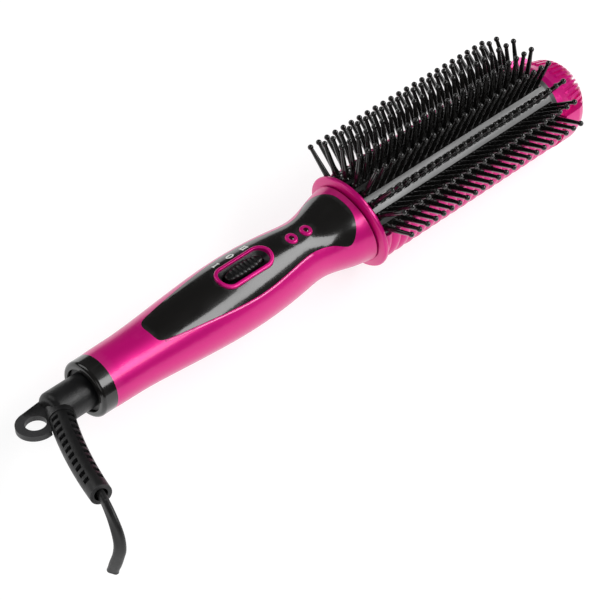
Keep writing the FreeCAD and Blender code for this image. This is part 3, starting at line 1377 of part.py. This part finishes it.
for item in doc.Objects:
    if {"Invalid", "Error"} & set(item.State):
        raise RuntimeError("%s failed: %s" % (item.Label, item.State))
for name, item in nodes.items():
    if item.Shape.isNull() or not item.Shape.isValid() or not item.Shape.Solids:
        raise RuntimeError(name + " has no valid solid")

os.makedirs("parts", exist_ok=True)
for name, item in nodes.items():
    item.Shape.exportStep("parts/%s.step" % name)
print("wrote %d nodes" % len(nodes))
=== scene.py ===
"""Looks of a corded heated styling brush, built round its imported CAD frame. Lengths are in metres."""
import json
import math

import bpy
import bmesh
from mathutils import Matrix, Vector
from mathutils.bvhtree import BVHTree


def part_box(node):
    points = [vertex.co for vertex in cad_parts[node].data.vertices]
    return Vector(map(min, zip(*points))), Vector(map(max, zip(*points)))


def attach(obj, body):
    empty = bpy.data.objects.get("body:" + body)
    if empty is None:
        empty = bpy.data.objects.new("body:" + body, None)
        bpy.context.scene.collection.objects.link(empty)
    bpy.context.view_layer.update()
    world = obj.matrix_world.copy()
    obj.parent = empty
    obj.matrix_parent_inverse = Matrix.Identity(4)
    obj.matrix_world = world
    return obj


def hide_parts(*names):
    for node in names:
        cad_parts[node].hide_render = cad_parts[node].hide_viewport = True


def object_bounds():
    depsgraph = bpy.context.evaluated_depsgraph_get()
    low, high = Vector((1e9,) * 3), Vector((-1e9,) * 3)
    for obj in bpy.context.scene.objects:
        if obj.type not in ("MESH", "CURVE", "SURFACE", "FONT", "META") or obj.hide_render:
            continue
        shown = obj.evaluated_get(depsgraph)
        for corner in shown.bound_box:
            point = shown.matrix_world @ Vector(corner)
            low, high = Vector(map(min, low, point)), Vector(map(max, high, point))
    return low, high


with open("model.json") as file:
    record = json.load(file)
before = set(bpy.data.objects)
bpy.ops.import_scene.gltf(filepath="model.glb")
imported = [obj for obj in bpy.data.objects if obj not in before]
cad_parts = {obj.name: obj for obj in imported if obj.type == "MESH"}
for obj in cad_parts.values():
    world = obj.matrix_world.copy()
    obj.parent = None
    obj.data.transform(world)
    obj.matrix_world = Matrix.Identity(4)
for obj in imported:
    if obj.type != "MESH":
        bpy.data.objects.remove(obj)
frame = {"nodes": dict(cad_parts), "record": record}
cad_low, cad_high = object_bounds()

MM = 0.001
NODES = frame["nodes"]
RECORD = frame["record"]


# ---------------------------------------------------------------- materials

def linear(red, green, blue):
    """A colour given in screen values from 0 to 255, as scene-linear values."""
    def curve(part):
        part /= 255
        return part / 12.92 if part <= 0.04045 else ((part + 0.055) / 1.055) ** 2.4
    return (curve(red), curve(green), curve(blue), 1)


def scaled(color, factor):
    return tuple(min(1, part * factor) for part in color[:3]) + (1,)


class Finish:
    """A node material: a principled surface with grain, mottling and worn edges."""

    def __init__(self, name, color, rough, metallic=0.0, coat=0.0, coat_rough=0.1, ior=1.5):
        self.material = bpy.data.materials.new(name)
        self.material.use_nodes = True
        self.tree = self.material.node_tree
        self.surface = self.tree.nodes["Principled BSDF"]
        self.color = color
        self.rough = rough
        self.set("Base Color", color)
        self.set("Roughness", rough)
        self.set("Metallic", metallic)
        self.set("IOR", ior)
        self.set("Coat Weight", coat)
        self.set("Coat Roughness", coat_rough)
        self.place = self.add("ShaderNodeTexCoord").outputs["Object"]
        self.height = None

    def add(self, kind, **values):
        node = self.tree.nodes.new(kind)
        for key, value in values.items():
            setattr(node, key, value)
        return node

    def link(self, start, end):
        self.tree.links.new(start, end)

    def set(self, socket, value):
        self.surface.inputs[socket].default_value = value

    def noise(self, size, stretch=(1, 1, 1), detail=3.0):
        """Noise whose features are about size across, drawn out along the axes."""
        mapping = self.add("ShaderNodeMapping")
        mapping.inputs["Scale"].default_value = tuple(1 / part for part in stretch)
        self.link(self.place, mapping.inputs["Vector"])
        noise = self.add("ShaderNodeTexNoise")
        noise.inputs["Scale"].default_value = 1 / size
        noise.inputs["Detail"].default_value = detail
        self.link(mapping.outputs["Vector"], noise.inputs["Vector"])
        return noise.outputs["Fac"]

    def spread(self, source, low, high, start=0.3, end=0.7):
        """The source's middle range stretched to run from low to high."""
        ramp = self.add("ShaderNodeMapRange")
        for key, value in (("From Min", start), ("From Max", end), ("To Min", low), ("To Max", high)):
            ramp.inputs[key].default_value = value
        self.link(source, ramp.inputs["Value"])
        return ramp.outputs["Result"]

    def mottle(self, size, amount, stretch=(1, 1, 1)):
        """Uneven sheen: patches a little rougher and smoother, lighter and darker."""
        source = self.noise(size, stretch)
        rough = self.spread(source, self.rough * (1 - amount), self.rough * (1 + amount))
        self.link(rough, self.surface.inputs["Roughness"])
        mix = self.add("ShaderNodeMix", data_type="RGBA")
        mix.inputs["A"].default_value = scaled(self.color, 1 - amount / 3)
        mix.inputs["B"].default_value = scaled(self.color, 1 + amount / 3)
        self.link(self.spread(source, 0, 1), mix.inputs["Factor"])
        self.link(mix.outputs["Result"], self.surface.inputs["Base Color"])
        self.tone = mix.outputs["Result"]
        return self

    def grain(self, size, depth, stretch=(1, 1, 1), detail=3.0):
        """Surface relief; a second call lays finer relief over the first."""
        bump = self.add("ShaderNodeBump")
        bump.inputs["Distance"].default_value = depth
        bump.inputs["Strength"].default_value = 1.0
        self.link(self.noise(size, stretch, detail), bump.inputs["Height"])
        if self.height:
            self.link(self.height, bump.inputs["Normal"])
        self.height = bump.outputs["Normal"]
        self.link(self.height, self.surface.inputs["Normal"])
        return self

    def wear(self, color, amount):
        """Edges rubbed towards a lighter tone."""
        edges = self.add("ShaderNodeNewGeometry").outputs["Pointiness"]
        mix = self.add("ShaderNodeMix", data_type="RGBA")
        self.link(self.spread(edges, 0, amount, 0.53, 0.62), mix.inputs["Factor"])
        self.link(self.tone, mix.inputs["A"])
        mix.inputs["B"].default_value = color
        self.link(mix.outputs["Result"], self.surface.inputs["Base Color"])
        return self


MAGENTA = linear(216, 0, 128)
# Lighter magenta: the tone of rubbed edges, and the painted highlight on the inlay lip.
PALE_MAGENTA = linear(240, 96, 168)
BLACK = linear(20, 19, 18)
SOFT_BLACK = linear(15, 15, 16)
GREY = linear(120, 120, 122)


def moulded_magenta(name):
    """Pearly moulded plastic under a clear coat, with faint flow marks along the brush."""
    finish = Finish(name, MAGENTA, 0.38, metallic=0.45, coat=0.5, coat_rough=0.16)
    finish.set("Specular IOR Level", 0.3)
    finish.mottle(14 * MM, 0.16, (4, 1, 1)).wear(PALE_MAGENTA, 0.2)
    return finish.grain(6 * MM, 0.006 * MM, (3, 1, 1)).grain(0.35 * MM, 0.0012 * MM).material


def gloss_black(name, rough=0.18, grain=0.4):
    """Polished black plastic with faint rubbing."""
    finish = Finish(name, BLACK, rough, coat=0.4, coat_rough=0.05)
    finish.mottle(9 * MM, 0.35, (3, 1, 1)).wear(GREY, 0.12)
    return finish.grain(8 * MM, 0.005 * MM, (3, 1, 1)).grain(grain * MM, 0.0008 * MM).material


def textured_black(name, rough=0.42, size=0.8, depth=0.09):
    """Spark-textured black plastic or rubber."""
    finish = Finish(name, SOFT_BLACK, rough)
    finish.mottle(6 * MM, 0.15).wear(GREY, 0.15)
    return finish.grain(size * MM, depth * MM).material


def metal(name, color, rough, stretch):
    """Metal with fine drawn lines."""
    finish = Finish(name, color, rough, metallic=1.0)
    finish.mottle(3 * MM, 0.25, stretch).wear(scaled(color, 1.3), 0.4)
    return finish.grain(0.12 * MM, 0.003 * MM, stretch).material


def dull(name, color, rough=0.6):
    """Plain parts out of sight."""
    return Finish(name, color, rough).mottle(4 * MM, 0.2).wear(scaled(color, 1.4), 0.3).grain(
        0.5 * MM, 0.01 * MM).material


def lens(name, color):
    finish = Finish(name, color, 0.08, coat=1.0, coat_rough=0.03)
    finish.set("Transmission Weight", 0.35)
    return finish.mottle(1.5 * MM, 0.3).grain(0.6 * MM, 0.002 * MM).material


SLOTS = {
    "magenta_gloss": moulded_magenta("moulded_magenta"),
    "black_gloss": gloss_black("gloss_black"),
    "black_satin": textured_black("textured_black"),
    "black_rubber": textured_black("satin_rubber", 0.46, 0.9, 0.06),
    "dark_lens": lens("dark_lens", linear(40, 12, 16)),
    "led_body": lens("led_body", linear(190, 60, 50)),
    "barrel_alloy": metal("barrel_alloy", linear(92, 92, 92), 0.4, (12, 1, 1)),
    "alloy": metal("alloy", linear(205, 206, 208), 0.32, (8, 1, 1)),
    "steel": metal("steel", linear(180, 180, 184), 0.28, (1, 1, 4)),
    "brass": metal("brass", linear(212, 178, 92), 0.3, (1, 1, 4)),
    "board_green": dull("board_green", linear(18, 92, 48), 0.4),
    "component_grey": dull("component_grey", linear(60, 60, 66)),
    "ceramic": dull("ceramic", linear(205, 200, 190), 0.7),
    "film_amber": dull("film_amber", linear(190, 110, 30), 0.3),
    "lead_sleeve": dull("lead_sleeve", linear(150, 30, 24), 0.5),
}

for part in RECORD["subparts"]:
    for place in NODES[part["node"]].material_slots:
        place.material = SLOTS[part["material_slot"]]

bristle_black = gloss_black("bristle_black", 0.06, 0.2)
for name, node in NODES.items():
    if name.startswith("bristle_row"):
        for place in node.material_slots:
            place.material = bristle_black


# ---------------------------------------------------------------- mesh helpers

def piece(name, mesh, body, material, smooth=True):
    """Show a finished mesh as a piece that rides on a CAD body."""
    mesh.normal_update()
    data = bpy.data.meshes.new(name)
    mesh.to_mesh(data)
    mesh.free()
    data.materials.append(material)
    for face in data.polygons:
        face.use_smooth = smooth
    item = bpy.data.objects.new(name, data)
    bpy.context.scene.collection.objects.link(item)
    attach(item, body)
    return item


def skin(mesh, rings, closed):
    """Faces between rings of points; closed joins the last ring to the first."""
    loops = [[mesh.verts.new(point) for point in ring] for ring in rings]
    pairs = list(zip(loops, loops[1:]))
    if closed:
        pairs.append((loops[-1], loops[0]))
    for one, other in pairs:
        for step in range(len(one)):
            following = (step + 1) % len(one)
            mesh.faces.new((one[step], one[following], other[following], other[step]))
    if not closed:
        mesh.faces.new(list(reversed(loops[0])))
        mesh.faces.new(loops[-1])


def surface_of(*names):
    """The joined skin of CAD nodes, for dropping points onto."""
    points = []
    faces = []
    for name in names:
        data = NODES[name].data
        first = len(points)
        points += [vertex.co.copy() for vertex in data.vertices]
        faces += [[first + index for index in face.vertices] for face in data.polygons]
    return BVHTree.FromPolygons(points, faces)


def drop(surface, x, y, height=60 * MM):
    """Where a point lands on a surface from above, and the surface's normal there."""
    spot, normal, face, distance = surface.ray_cast(Vector((x, y, height)), Vector((0, 0, -1)))
    if spot is None:
        raise RuntimeError("nothing under %.4f, %.4f" % (x, y))
    return spot, normal


# ---------------------------------------------------------------- slide switch

slider_low, slider_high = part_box("switch_slider")
SWITCH_X = (slider_low[0] + slider_high[0]) / 2
KNOB_HALF = (slider_high[0] - slider_low[0]) / 2 + 0.5 * MM
KNOB_SIDE = (slider_high[1] - slider_low[1]) / 2
KNOB_TOP = slider_high[2]
KNOB_BASE = KNOB_TOP - 2.8 * MM
RIB_COUNT = 7
RIB_PITCH = 2.3 * MM
RIB_HALF = 0.42 * MM
RIB_RISE = 0.55 * MM


def rib_rise(x):
    """Height of the finger ribs at a distance from the knob's middle."""
    nearest = round(x / RIB_PITCH)
    if abs(nearest) > RIB_COUNT // 2:
        return 0
    return RIB_RISE * math.exp(-((x - nearest * RIB_PITCH) / RIB_HALF) ** 2)


def power(value, exponent):
    return math.copysign(abs(value) ** exponent, value)


def knob():
    """A long oval thumb piece with a crowned, ribbed top."""
    mesh = bmesh.new()
    rings = []
    stations = 150
    around = 48
    for step in range(stations + 1):
        lean = math.pi * (step / stations)
        x = -KNOB_HALF * math.cos(lean)
        swell = math.sin(lean) ** 0.62
        half = max(KNOB_SIDE * swell, 0.05 * MM)
        rise = (KNOB_TOP - RIB_RISE - KNOB_BASE) * (0.45 + 0.55 * math.sin(lean) ** 0.5)
        ring = []
        for turn in range(around):
            angle = 2 * math.pi * turn / around
            across = power(math.cos(angle), 0.7) * half
            up = max(0, power(math.sin(angle), 0.62))
            ridge = rib_rise(x) * max(0, math.sin(angle)) ** 0.4 if up > 0 else 0
            ring.append(Vector((SWITCH_X + x, across, KNOB_BASE + rise * up + ridge)))
        rings.append(ring)
    skin(mesh, rings, False)
    stem_low = slider_low[2]
    stem = []
    for level in (stem_low, KNOB_BASE + 0.2 * MM):
        stem.append([Vector((SWITCH_X + 3.5 * MM * power(math.cos(angle), 0.3),
                             2.4 * MM * power(math.sin(angle), 0.3), level))
                     for angle in (2 * math.pi * turn / 24 for turn in range(24))])
    skin(mesh, stem, False)
    bmesh.ops.recalc_face_normals(mesh, faces=mesh.faces)
    return mesh


switch_knob = piece("switch_knob", knob(), "switch",
                    textured_black("knob_black", 0.3, 0.25, 0.003))
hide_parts("switch_slider")

bezel_low, bezel_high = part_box("switch_bezel")
BEZEL_HALF = (bezel_high[0] - bezel_low[0]) / 2
BEZEL_SIDE = (bezel_high[1] - bezel_low[1]) / 2
BEZEL_CROWN = bezel_high[2]
RIM_WIDTH = 1.75 * MM
WELL_FLOOR = KNOB_BASE - 0.15 * MM


def stadium(inset, turns=24, straight=16):
    """The bezel's round-ended outline, moved in by an inset."""
    side = BEZEL_SIDE - inset
    reach = BEZEL_HALF - BEZEL_SIDE
    points = []
    for end in (1, -1):
        for turn in range(turns + 1):
            angle = math.pi * (turn / turns - 0.5)
            points.append((end * (reach + side * math.cos(angle)), end * side * math.sin(angle)))
        for step in range(1, straight):
            points.append((end * (reach - 2 * reach * step / straight), end * side))
    return points


def bezel_ring(inset, fall):
    """A ring of the bezel, so far below its crowned top."""
    return [Vector((SWITCH_X + x, y, math.sqrt(BEZEL_CROWN ** 2 - y ** 2) - fall)) for x, y in stadium(inset)]


def level_ring(inset, height):
    return [Vector((SWITCH_X + x, y, height)) for x, y in stadium(inset)]


def bezel_rim():
    """A crowned rim with rolled edges that drops to the well."""
    mesh = bmesh.new()
    rings = [level_ring(0, bezel_low[2]), bezel_ring(0, 0.55 * MM)]
    roll = 0.5 * MM
    for turn in range(1, 7):
        angle = math.pi / 2 * turn / 6
        rings.append(bezel_ring(roll * (1 - math.cos(angle)), roll * (1 - math.sin(angle))))
    for turn in range(1, 7):
        angle = math.pi / 2 * turn / 6
        rings.append(bezel_ring(RIM_WIDTH - roll * (1 - math.sin(angle)), roll * (1 - math.cos(angle))))
    rings.append(level_ring(RIM_WIDTH + 0.1 * MM, WELL_FLOOR))
    rings.append(level_ring(RIM_WIDTH + 0.1 * MM, bezel_low[2]))
    skin(mesh, rings, True)
    bmesh.ops.recalc_face_normals(mesh, faces=mesh.faces)
    return mesh


def bezel_well():
    """The dark floor of the opening, with the slot the stem slides in."""
    mesh = bmesh.new()
    slot = 4.1 * MM
    skin(mesh, [level_ring(RIM_WIDTH - 0.2 * MM, WELL_FLOOR - 0.6 * MM),
                level_ring(RIM_WIDTH - 0.2 * MM, WELL_FLOOR + 1.1 * MM),
                level_ring(RIM_WIDTH + 0.25 * MM, WELL_FLOOR + 1.1 * MM),
                level_ring(RIM_WIDTH + 0.4 * MM, WELL_FLOOR),
                level_ring(slot, WELL_FLOOR), level_ring(slot, WELL_FLOOR - 0.6 * MM)], True)
    bmesh.ops.recalc_face_normals(mesh, faces=mesh.faces)
    return mesh


rim = piece("bezel_rim", bezel_rim(), "root", SLOTS["magenta_gloss"])
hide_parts("switch_bezel")
piece("bezel_well", bezel_well(), "root", SLOTS["black_satin"])


# ---------------------------------------------------------------- lip round the inlay

SHELL = surface_of("handle_upper_shell", "handle_lower_shell")
LIP_RADIUS = 0.48 * MM
LIP_OFFSET = 0.6 * MM
LIP_SPACING = 0.9 * MM


def loops_of(edges):
    """The closed loops that a set of edges makes, each as points in order."""
    free = set(edges)
    loops = []
    while free:
        edge = free.pop()
        start, here = edge.verts
        loop = [start.co.copy(), here.co.copy()]
        while True:
            following = next((other for other in here.link_edges if other in free), None)
            if following is None:
                break
            free.remove(following)
            here = following.other_vert(here)
            loop.append(here.co.copy())
        loops.append(loop)
    return loops


def length_of(loop):
    return sum((one - other).length for one, other in zip(loop, loop[1:]))


def inlay_outline():
    """The inlay's outer edge, as evenly spaced points."""
    mesh = bmesh.new()
    mesh.from_mesh(NODES["inlay_panel"].data)
    bmesh.ops.remove_doubles(mesh, verts=mesh.verts, dist=0.001 * MM)
    rims = [edge for edge in mesh.edges if len(edge.link_faces) == 2 and edge.calc_face_angle(0) > 0.7
            and max(face.normal.z for face in edge.link_faces) > 0.25
            and min(face.normal.z for face in edge.link_faces) > -0.2]
    loop = max(loops_of(rims), key=length_of)
    mesh.free()
    count = int(length_of(loop) / LIP_SPACING)
    step = length_of(loop) / count
    points = []
    gone = 0
    for one, other in zip(loop, loop[1:]):
        run = (other - one).length
        while len(points) < count and len(points) * step <= gone + run:
            points.append(one.lerp(other, (len(points) * step - gone) / run))
        gone += run
    return points


def lip():
    """A thin raised edge of the shell that frames the inlay."""
    mesh = bmesh.new()
    points = inlay_outline()
    middle = sum(points, Vector()) / len(points)
    rings = []
    for step, point in enumerate(points):
        ahead = points[(step + 1) % len(points)] - points[step - 1]
        outward = Vector((ahead.y, -ahead.x, 0)).normalized()
        if outward.dot(point - middle) < 0 and abs(outward.y) > 0.5:
            outward = -outward
        elif abs(outward.y) <= 0.5 and outward.x * (point.x - middle.x) < 0:
            outward = -outward
        spot, normal = drop(SHELL, *(point + outward * LIP_OFFSET).xy)
        side = normal.cross(ahead).normalized()
        rings.append([spot + (side * math.cos(angle) + normal * math.sin(angle)) * LIP_RADIUS
                      for angle in (2 * math.pi * turn / 12 for turn in range(12))])
    skin(mesh, rings, True)
    bmesh.ops.recalc_face_normals(mesh, faces=mesh.faces)
    return mesh


# The lip's raised shape is real, but its pale magenta colour is a painted highlight along the inlay's edge.
lip_painted_highlight = Finish("lip_painted_highlight", PALE_MAGENTA, 0.2, metallic=0.3, coat=0.8).mottle(
    5 * MM, 0.1).grain(0.4 * MM, 0.001 * MM).material
piece("inlay_lip", lip(), "root", lip_painted_highlight)


# ---------------------------------------------------------------- lamp domes

LENSES = surface_of("lamp_lenses")
lens_low, lens_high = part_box("lamp_lenses")
DOME_RADIUS = (lens_high[1] - lens_low[1]) / 2
DOME_RISE = 0.55 * MM
DOME_DEPTH = 1.2 * MM


def lamp_domes():
    """A crowned lens in each lamp ring."""
    mesh = bmesh.new()
    around = 40
    for x in (lens_low[0] + DOME_RADIUS, lens_high[0] - DOME_RADIUS):
        level = drop(LENSES, x, 0)[0].z
        profile = [(DOME_RADIUS, level - DOME_DEPTH), (DOME_RADIUS, level - 0.25 * MM)]
        for step in range(1, 10):
            lean = math.pi / 2 * step / 10
            profile.append((DOME_RADIUS * math.cos(lean), level - 0.25 * MM + DOME_RISE * math.sin(lean)))
        rings = [[Vector((x + radius * math.cos(angle), radius * math.sin(angle), height))
                  for angle in (2 * math.pi * turn / around for turn in range(around))]
                 for radius, height in profile]
        skin(mesh, rings, False)
    bmesh.ops.recalc_face_normals(mesh, faces=mesh.faces)
    return mesh


domes = piece("lamp_domes", lamp_domes(), "root", SLOTS["dark_lens"])
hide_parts("lamp_lenses")


# ---------------------------------------------------------------- printed switch marks

INLAY = surface_of("inlay_panel")
MARK_Y = 9.5 * MM
MARK_LENGTH = 3.7 * MM
MARK_LIFT = 0.14 * MM


def laid(outline, lift):
    """An outline dropped onto the inlay and lifted along its normal."""
    ring = []
    for x, y in outline:
        spot, normal = drop(INLAY, x, y)
        ring.append(spot + normal * lift)
    return ring


def stroke(mesh, x, y, length, width):
    """A printed bar along X with square ends."""
    steps = 6
    run = [x - length / 2 + length * step / steps for step in range(steps + 1)]
    edge = [(along, y - width / 2) for along in run] + [(along, y + width / 2) for along in reversed(run)]
    skin(mesh, [laid(edge, -MARK_LIFT), laid(edge, MARK_LIFT)], False)


def oval(x, y, length, width, turns=40):
    return [(x + length / 2 * math.cos(2 * math.pi * turn / turns),
             y + width / 2 * math.sin(2 * math.pi * turn / turns)) for turn in range(turns)]


def switch_marks():
    mesh = bmesh.new()
    pen = 0.5 * MM
    ends = MARK_LENGTH / 2 - pen / 2
    low = SWITCH_X - 8.3 * MM
    high = SWITCH_X + 9.2 * MM
    stroke(mesh, low, MARK_Y, MARK_LENGTH, pen)
    for end in (-ends, ends):
        stroke(mesh, low + end, MARK_Y, pen * 0.9, 1.5 * MM)
    inner = oval(SWITCH_X + 0.5 * MM, MARK_Y, MARK_LENGTH - pen, 1.2 * MM)
    outer = oval(SWITCH_X + 0.5 * MM, MARK_Y, MARK_LENGTH + pen, 2.5 * MM)
    skin(mesh, [laid(inner, -MARK_LIFT), laid(inner, MARK_LIFT),
                laid(outer, MARK_LIFT), laid(outer, -MARK_LIFT)], True)
    for side in (-0.75 * MM, 0.75 * MM):
        stroke(mesh, high, MARK_Y + side, MARK_LENGTH, pen)
    for end in (-ends, ends):
        stroke(mesh, high + end, MARK_Y, pen * 0.9, 2.5 * MM)
    bmesh.ops.recalc_face_normals(mesh, faces=mesh.faces)
    return mesh


print_white = Finish("print_white", linear(222, 226, 222), 0.5).mottle(0.8 * MM, 0.15).grain(
    0.15 * MM, 0.004 * MM).material
piece("switch_marks", switch_marks(), "root", print_white, smooth=False)


# ---------------------------------------------------------------- stage, light and camera

def area_light(name, heading, distance, size, power_watts, color=(1, 1, 1)):
    """A softbox seen from the brush in a direction, facing it."""
    data = bpy.data.lights.new(name, "AREA")
    data.shape = "RECTANGLE"
    data.size, data.size_y = size
    data.energy = power_watts
    data.color = color
    light = bpy.data.objects.new(name, data)
    heading = Vector(heading).normalized()
    light.location = TARGET + heading * distance
    light.rotation_euler = heading.to_track_quat("Z", "X").to_euler()
    bpy.context.scene.collection.objects.link(light)
    return light


TARGET = Vector((-0.03, -0.02, 0))
ROOM_LIGHT = 0.42
ROOM_REFLECTION = 0.05
FLOOR_DROP = 1 * MM


def pale_floor():
    mesh = bmesh.new()
    half = 3.0
    level = cad_low[2] - FLOOR_DROP
    corners = [mesh.verts.new((x, y, level)) for x, y in ((-half, -half), (half, -half), (half, half), (-half, half))]
    mesh.faces.new(corners)
    data = bpy.data.meshes.new("floor")
    mesh.to_mesh(data)
    mesh.free()
    finish = Finish("pale_floor", (0.3, 0.3, 0.3, 1), 0.9)
    finish.mottle(0.4, 0.02)
    finish.set("Emission Color", (1, 1, 1, 1))
    finish.set("Emission Strength", 0.78)
    data.materials.append(finish.material)
    floor = bpy.data.objects.new("floor", data)
    bpy.context.scene.collection.objects.link(floor)


pale_floor()
stage_lights = [
    area_light("key_softbox", (0.54, -0.42, 0.73), 1.1, (0.42, 1.1), 9),
    area_light("back_softbox", (-0.35, 0.75, 0.6), 1.2, (0.9, 0.6), 3),
    area_light("front_fill", (-0.75, -0.5, 0.55), 1.3, (0.7, 0.7), 1.5),
]
world = bpy.data.worlds.new("studio")
world.use_nodes = True
backdrop = world.node_tree.nodes["Background"]
backdrop.inputs["Color"].default_value = (1, 1, 1, 1)
rays = world.node_tree.nodes.new("ShaderNodeLightPath")
level = world.node_tree.nodes.new("ShaderNodeMapRange")
level.inputs["To Min"].default_value = ROOM_LIGHT
level.inputs["To Max"].default_value = ROOM_REFLECTION
world.node_tree.links.new(rays.outputs["Is Glossy Ray"], level.inputs["Value"])
world.node_tree.links.new(level.outputs["Result"], backdrop.inputs["Strength"])
bpy.context.scene.world = world
bpy.context.scene.view_settings.view_transform = "Standard"

CAMERA_PLACE = Vector((-0.62845, -0.41465, 0.80753))
CAMERA_RIGHT = Vector((0.7045, -0.6901, 0.1660))
CAMERA_AHEAD = Vector((0.5400, 0.3693, -0.7563))
CAMERA_LENS = 141.25

camera_data = bpy.data.cameras.new("camera")
camera_data.lens = CAMERA_LENS
camera_data.sensor_width = 36
camera = bpy.data.objects.new("camera", camera_data)
back = -CAMERA_AHEAD.normalized()
right = (CAMERA_RIGHT - back * CAMERA_RIGHT.dot(back)).normalized()
up = back.cross(right)
camera.matrix_world = Matrix.Translation(CAMERA_PLACE) @ Matrix((right, up, back)).transposed().to_4x4()
bpy.context.scene.collection.objects.link(camera)
bpy.context.scene.camera = camera

bpy.context.view_layer.update()
